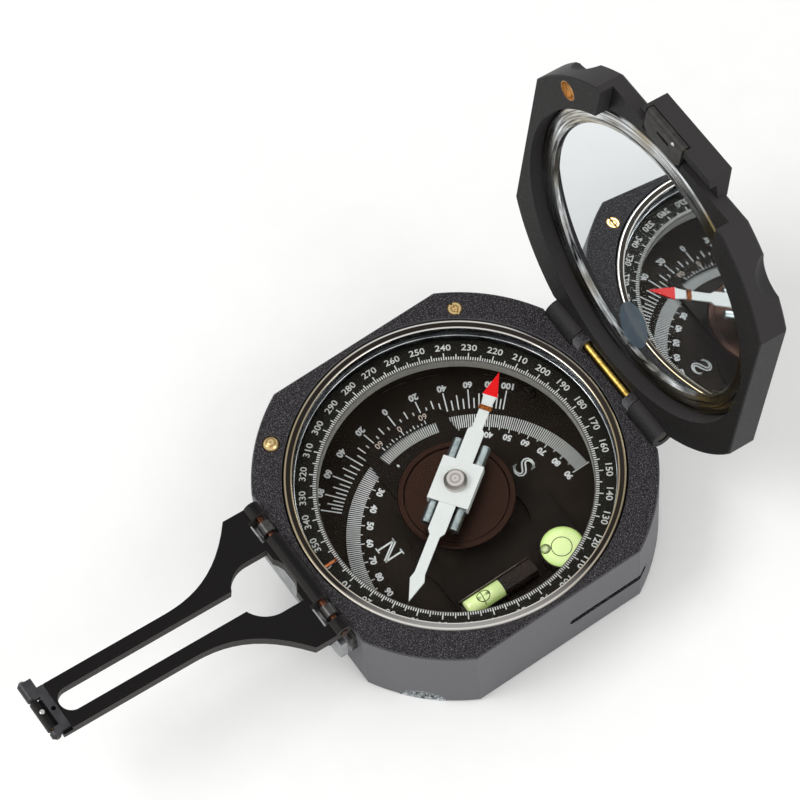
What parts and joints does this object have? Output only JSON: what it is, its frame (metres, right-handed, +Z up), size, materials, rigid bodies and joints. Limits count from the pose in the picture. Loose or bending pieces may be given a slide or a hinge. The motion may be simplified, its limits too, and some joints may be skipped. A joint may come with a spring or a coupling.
{
  "type": "pocket transit",
  "caption": "Pocket transit: square-sided compass case with mirror lid, folding sighting arm, turning degree ring and clinometer.",
  "frame": {"origin": "middle of the case's bottom face", "axes": "+Z up through the dial, +Y towards the lid hinge (south), -Y along the sighting arm (north), +X to the right"},
  "size_m": [0.07, 0.1518, 0.0959],
  "materials": {
    "case_paint": "black textured paint on cast aluminium",
    "arm_black": "satin black paint on aluminium",
    "arm_brown": "matt brown-black paint on aluminium",
    "dial_black": "matt black with white scales, on aluminium",
    "dark_anodised": "dark grey anodised",
    "bright_nickel": "polished nickel",
    "steel": "satin",
    "brass": "turned",
    "copper": "bare copper",
    "dark_copper": "darkened copper",
    "magnet": "nickel plated",
    "needle_white": "white enamel, red north end",
    "vial_glass": "yellow-green fluid",
    "glass": "clear",
    "mirror": "silvered glass"
  },
  "bodies": {
    "case": {"case_body": "case_paint", "dial_plate": "dial_black", "dial_screw_1": "steel", "dial_screw_2": "steel", "damping_cup": "dark_copper", "needle_pivot": "steel", "lever_pin": "brass", "crystal_seat_ring": "dark_anodised", "crystal": "glass", "bezel": "bright_nickel", "index_pin": "copper", "lift_spring": "steel", "arm_bracket": "steel", "arm_detent_spring": "steel", "bracket_screw_1": "steel", "bracket_screw_2": "steel", "arm_hinge_pin": "copper", "lid_hinge_pin": "brass"},
    "degree_ring": {"graduated_ring": "dial_black"},
    "setting_screw": {"declination_pinion": "brass", "declination_screw": "brass"},
    "lift_button": {"lift_pin": "brass"},
    "lever": {"lifter_lever": "steel"},
    "sleeve": {"lift_sleeve": "brass"},
    "needle": {"needle_blade": "needle_white", "needle_carrier": "needle_white", "needle_hub": "bright_nickel", "needle_magnet_1": "magnet", "needle_magnet_2": "magnet", "needle_weight": "copper"},
    "clinometer": {"clinometer_arm": "arm_brown", "clinometer_shaft": "brass", "clinometer_lever": "steel", "tube_level_cradle": "dial_black", "tube_level_vial": "vial_glass", "round_level_cup": "dial_black", "round_level_glass": "vial_glass"},
    "arm": {"sighting_arm": "arm_black", "arm_sight_pin": "brass"},
    "arm_peep": {"arm_sight": "dark_anodised"},
    "lid": {"lid_shell": "case_paint", "lid_mirror": "mirror", "mirror_ring": "bright_nickel", "sight_window": "glass", "lid_pad": "brass", "lid_sight_pin": "brass"},
    "lid_peep": {"lid_sight": "dark_anodised"}
  },
  "joints": [
    {"name": "setting_turn", "type": "hinge", "parent": "case", "child": "setting_screw", "pos_m": [-0.02962, 0.02067, 0.0137], "axis": [0, 0, 1], "continuous": true},
    {"name": "ring_turn", "type": "hinge", "parent": "case", "child": "degree_ring", "pos_m": [0, 0, 0.0137], "axis": [0, 0, 1], "continuous": true},
    {"name": "lift_press", "type": "slide", "parent": "case", "child": "lift_button", "axis": [0, 0, -1], "range_m": [0, 0.0008], "stiffness_N_per_m": 400, "deforming": ["lift_spring"]},
    {"name": "lever_tilt", "type": "hinge", "parent": "case", "child": "lever", "pos_m": [-0.0104, -0.01025, 0.0027], "axis": [0.7022, -0.712, 0], "range_deg": [0, 2.2]},
    {"name": "sleeve_rise", "type": "slide", "parent": "case", "child": "sleeve", "axis": [0, 0, 1], "range_m": [0, 0.0006]},
    {"name": "needle_swing", "type": "hinge", "parent": "sleeve", "child": "needle", "pos_m": [0, 0, 0.0163], "axis": [0, 0, 1], "continuous": true},
    {"name": "clinometer_turn", "type": "hinge", "parent": "case", "child": "clinometer", "pos_m": [0.0075, 0, 0.003], "axis": [0, 0, 1], "range_deg": [-90, 90]},
    {"name": "arm_fold", "type": "hinge", "parent": "case", "child": "arm", "pos_m": [0, -0.0369, 0.02155], "axis": [1, 0, 0], "range_deg": [-172.63, 7.37]},
    {"name": "arm_peep_fold", "type": "hinge", "parent": "arm", "child": "arm_peep", "pos_m": [0, -0.09381, 0.02826], "axis": [1, 0, 0], "range_deg": [0, 90]},
    {"name": "lid_fold", "type": "hinge", "parent": "case", "child": "lid", "pos_m": [0, 0.03712, 0.02075], "axis": [1, 0, 0], "range_deg": [-51.27, 98.73]},
    {"name": "lid_peep_fold", "type": "hinge", "parent": "lid", "child": "lid_peep", "pos_m": [0, 0.05237, 0.09502], "axis": [1, 0, 0], "range_deg": [-110, 0]}
  ],
  "couplings": [
    {"joint": "setting_turn", "follows": "ring_turn", "ratio": -12.231},
    {"joint": "lever_tilt", "follows": "lift_press", "rad_per_m": 45.106},
    {"joint": "sleeve_rise", "follows": "lift_press", "ratio": 0.7}
  ]
}
